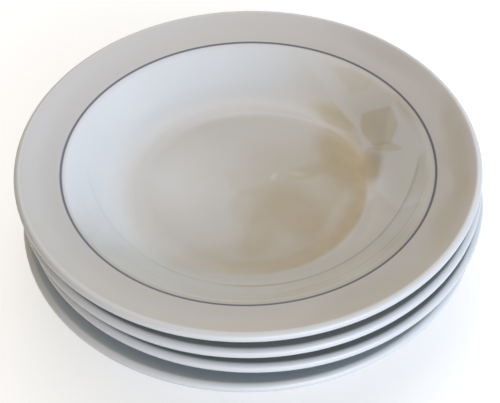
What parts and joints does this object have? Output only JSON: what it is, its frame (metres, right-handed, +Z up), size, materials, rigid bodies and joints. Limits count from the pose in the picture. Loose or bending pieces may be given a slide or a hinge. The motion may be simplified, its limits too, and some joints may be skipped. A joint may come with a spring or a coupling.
{
  "type": "stack of soup plates",
  "caption": "Neat stack of rimmed porcelain soup plates, used and stained, each with a thin blue-grey line round its well.",
  "frame": {"origin": "on the surface the stack stands on, under the middle of the stack's outline", "axes": "+Z up along the plates' axes; the stack's front faces -Y"},
  "size_m": [0.2384, 0.2383, 0.07],
  "materials": {
    "glaze": "glossy white porcelain glaze with a thin blue-grey line",
    "used_glaze": "the same glaze with a thin dried brown film in the well"
  },
  "bodies": {
    "root": {"plate_top": "used_glaze", "plate_second": "glaze", "plate_third": "glaze", "plate_bottom": "glaze"}
  },
  "joints": []
}
